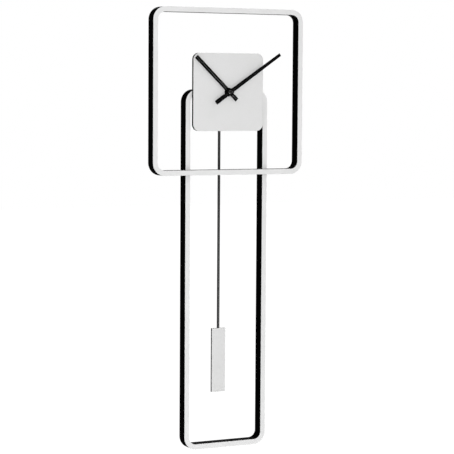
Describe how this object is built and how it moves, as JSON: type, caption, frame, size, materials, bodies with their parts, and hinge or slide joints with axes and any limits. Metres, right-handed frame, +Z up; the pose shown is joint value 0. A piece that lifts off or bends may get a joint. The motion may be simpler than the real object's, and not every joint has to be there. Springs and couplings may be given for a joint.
{
  "type": "pendulum wall clock",
  "caption": "Wall clock of two crossed thin rounded frames, one square and one tall, with a square dial, bar hands and a rod pendulum carrying a flat oblong bob.",
  "frame": {"origin": "centre of the keyhole's round part, on the wall plane", "axes": "+X to the right seen from the front, +Y from the dial towards the wall, +Z up"},
  "size_m": [0.3, 0.0562, 0.8],
  "materials": {
    "black_mdf": "black-dyed fibreboard, sanded and sealed, satin",
    "white_laminate": "white high-pressure laminate, fine matt grain",
    "black_plastic": "moulded black ABS, fine spark-eroded texture",
    "zinc_steel": "zinc-plated steel",
    "black_rubber": "moulded rubber",
    "black_metal": "black-lacquered brass hardware",
    "black_hand": "pressed aluminium, black satin lacquer",
    "dark_rod": "drawn steel rod, dark grey paint",
    "brass": "stamped brass",
    "motor_steel": "silicon-steel lamination",
    "ivory_plastic": "natural acetal",
    "copper_wire": "enamelled copper winding",
    "board_green": "solder-masked circuit board",
    "chip_resin": "black potting resin",
    "cell_sleeve": "printed-free plastic sleeve",
    "spring_steel": "nickel-plated spring strip",
    "magnet_grey": "sintered ferrite"
  },
  "bodies": {
    "clock": {"upper_frame": "black_mdf", "upper_face": "white_laminate", "lower_frame": "black_mdf", "lower_face": "white_laminate", "dial_board": "black_mdf", "dial_face": "white_laminate", "back_box": "black_plastic", "hanger_plate": "zinc_steel", "hanger_screws": "zinc_steel", "frame_screws": "zinc_steel", "dial_screws": "zinc_steel", "wall_spacers": "black_plastic", "wall_pads": "black_rubber", "case_front": "black_plastic", "case_rear": "black_plastic", "case_screws": "zinc_steel", "gasket": "black_rubber", "dial_washer": "black_metal", "bush_nut": "black_metal", "bearing_plate": "brass", "plate_screws": "zinc_steel", "stator": "motor_steel", "motor_bobbin": "ivory_plastic", "motor_winding": "copper_wire", "circuit_board": "board_green", "chip_cover": "chip_resin", "crystal": "zinc_steel", "contact_plus": "spring_steel", "contact_minus": "spring_steel", "drive_bobbin": "ivory_plastic", "drive_winding": "copper_wire", "pivot_pin": "zinc_steel", "swing_bridge": "black_plastic", "bridge_screws": "zinc_steel"},
    "cell": {"battery": "cell_sleeve"},
    "minute": {"minute_hand": "black_hand", "hand_cap": "black_hand", "centre_arbor": "zinc_steel", "centre_wheel": "brass"},
    "hour": {"hour_hand": "black_hand", "hour_wheel": "brass"},
    "minute_gear": {"minute_wheel": "ivory_plastic"},
    "third": {"third_wheel": "ivory_plastic"},
    "rotor": {"rotor_pinion": "ivory_plastic", "rotor_magnet": "magnet_grey"},
    "setting": {"setting_shaft": "ivory_plastic", "setting_knob": "black_plastic"},
    "pendulum": {"leader": "black_plastic", "leader_magnet": "magnet_grey", "hook_pin": "zinc_steel", "rod_hook": "zinc_steel", "pendulum_rod": "dark_rod", "bob_board": "black_mdf", "bob_face": "white_laminate"}
  },
  "joints": [
    {"name": "minute_turn", "type": "hinge", "parent": "clock", "child": "minute", "pos_m": [0, -0.05, -0.042], "axis": [0, 1, 0], "continuous": true},
    {"name": "hour_turn", "type": "hinge", "parent": "clock", "child": "hour", "pos_m": [0, -0.0375, -0.042], "axis": [0, 1, 0], "continuous": true},
    {"name": "minute_gear_turn", "type": "hinge", "parent": "clock", "child": "minute_gear", "pos_m": [0.00342, -0.036, -0.0326], "axis": [0, 1, 0], "continuous": true},
    {"name": "third_turn", "type": "hinge", "parent": "clock", "child": "third", "pos_m": [-0.01015, -0.033, -0.03831], "axis": [0, 1, 0], "continuous": true},
    {"name": "rotor_turn", "type": "hinge", "parent": "clock", "child": "rotor", "pos_m": [-0.01853, -0.035, -0.03525], "axis": [0, 1, 0], "continuous": true},
    {"name": "setting_turn", "type": "hinge", "parent": "clock", "child": "setting", "pos_m": [0.01282, -0.03, -0.02918], "axis": [0, 1, 0], "continuous": true},
    {"name": "pendulum_swing", "type": "hinge", "parent": "clock", "child": "pendulum", "pos_m": [0, -0.01, -0.062], "axis": [0, 1, 0], "range_deg": [-6, 6]},
    {"name": "battery_out", "type": "slide", "parent": "clock", "child": "cell", "axis": [0, 1, 0], "range_m": [0, 0.03]}
  ],
  "couplings": [
    {"joint": "hour_turn", "follows": "minute_turn", "ratio": 0.083333},
    {"joint": "minute_gear_turn", "follows": "minute_turn", "ratio": -0.33333},
    {"joint": "third_turn", "follows": "minute_turn", "ratio": -8},
    {"joint": "rotor_turn", "follows": "minute_turn", "ratio": 60},
    {"joint": "setting_turn", "follows": "minute_turn", "ratio": 1}
  ]
}
